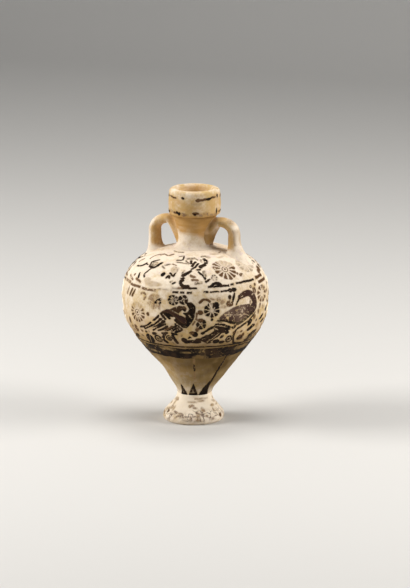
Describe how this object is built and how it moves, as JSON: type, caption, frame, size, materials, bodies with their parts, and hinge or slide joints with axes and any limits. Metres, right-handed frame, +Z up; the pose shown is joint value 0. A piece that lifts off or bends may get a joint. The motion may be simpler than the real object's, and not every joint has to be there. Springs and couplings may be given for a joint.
{
  "type": "amphoriskos",
  "caption": "Small two-handled Corinthian oil jar with an ovoid body, flaring foot, waisted neck and collar mouth, painted with friezes.",
  "frame": {"origin": "on the resting plane, under the vessel's axis", "axes": "+Z up along the vessel's axis, +X towards the right handle, -Y towards the front of the painted frieze"},
  "size_m": [0.0806, 0.0806, 0.1306],
  "materials": {
    "pale_clay": "matt, chalky, worn",
    "painted_clay": "matt, with worn black-brown slip decoration",
    "clay": "matt, wiped by hand"
  },
  "bodies": {
    "root": {"foot": "pale_clay", "body": "painted_clay", "neck": "clay", "mouth": "clay", "handle_left": "clay", "handle_right": "clay"}
  },
  "joints": []
}
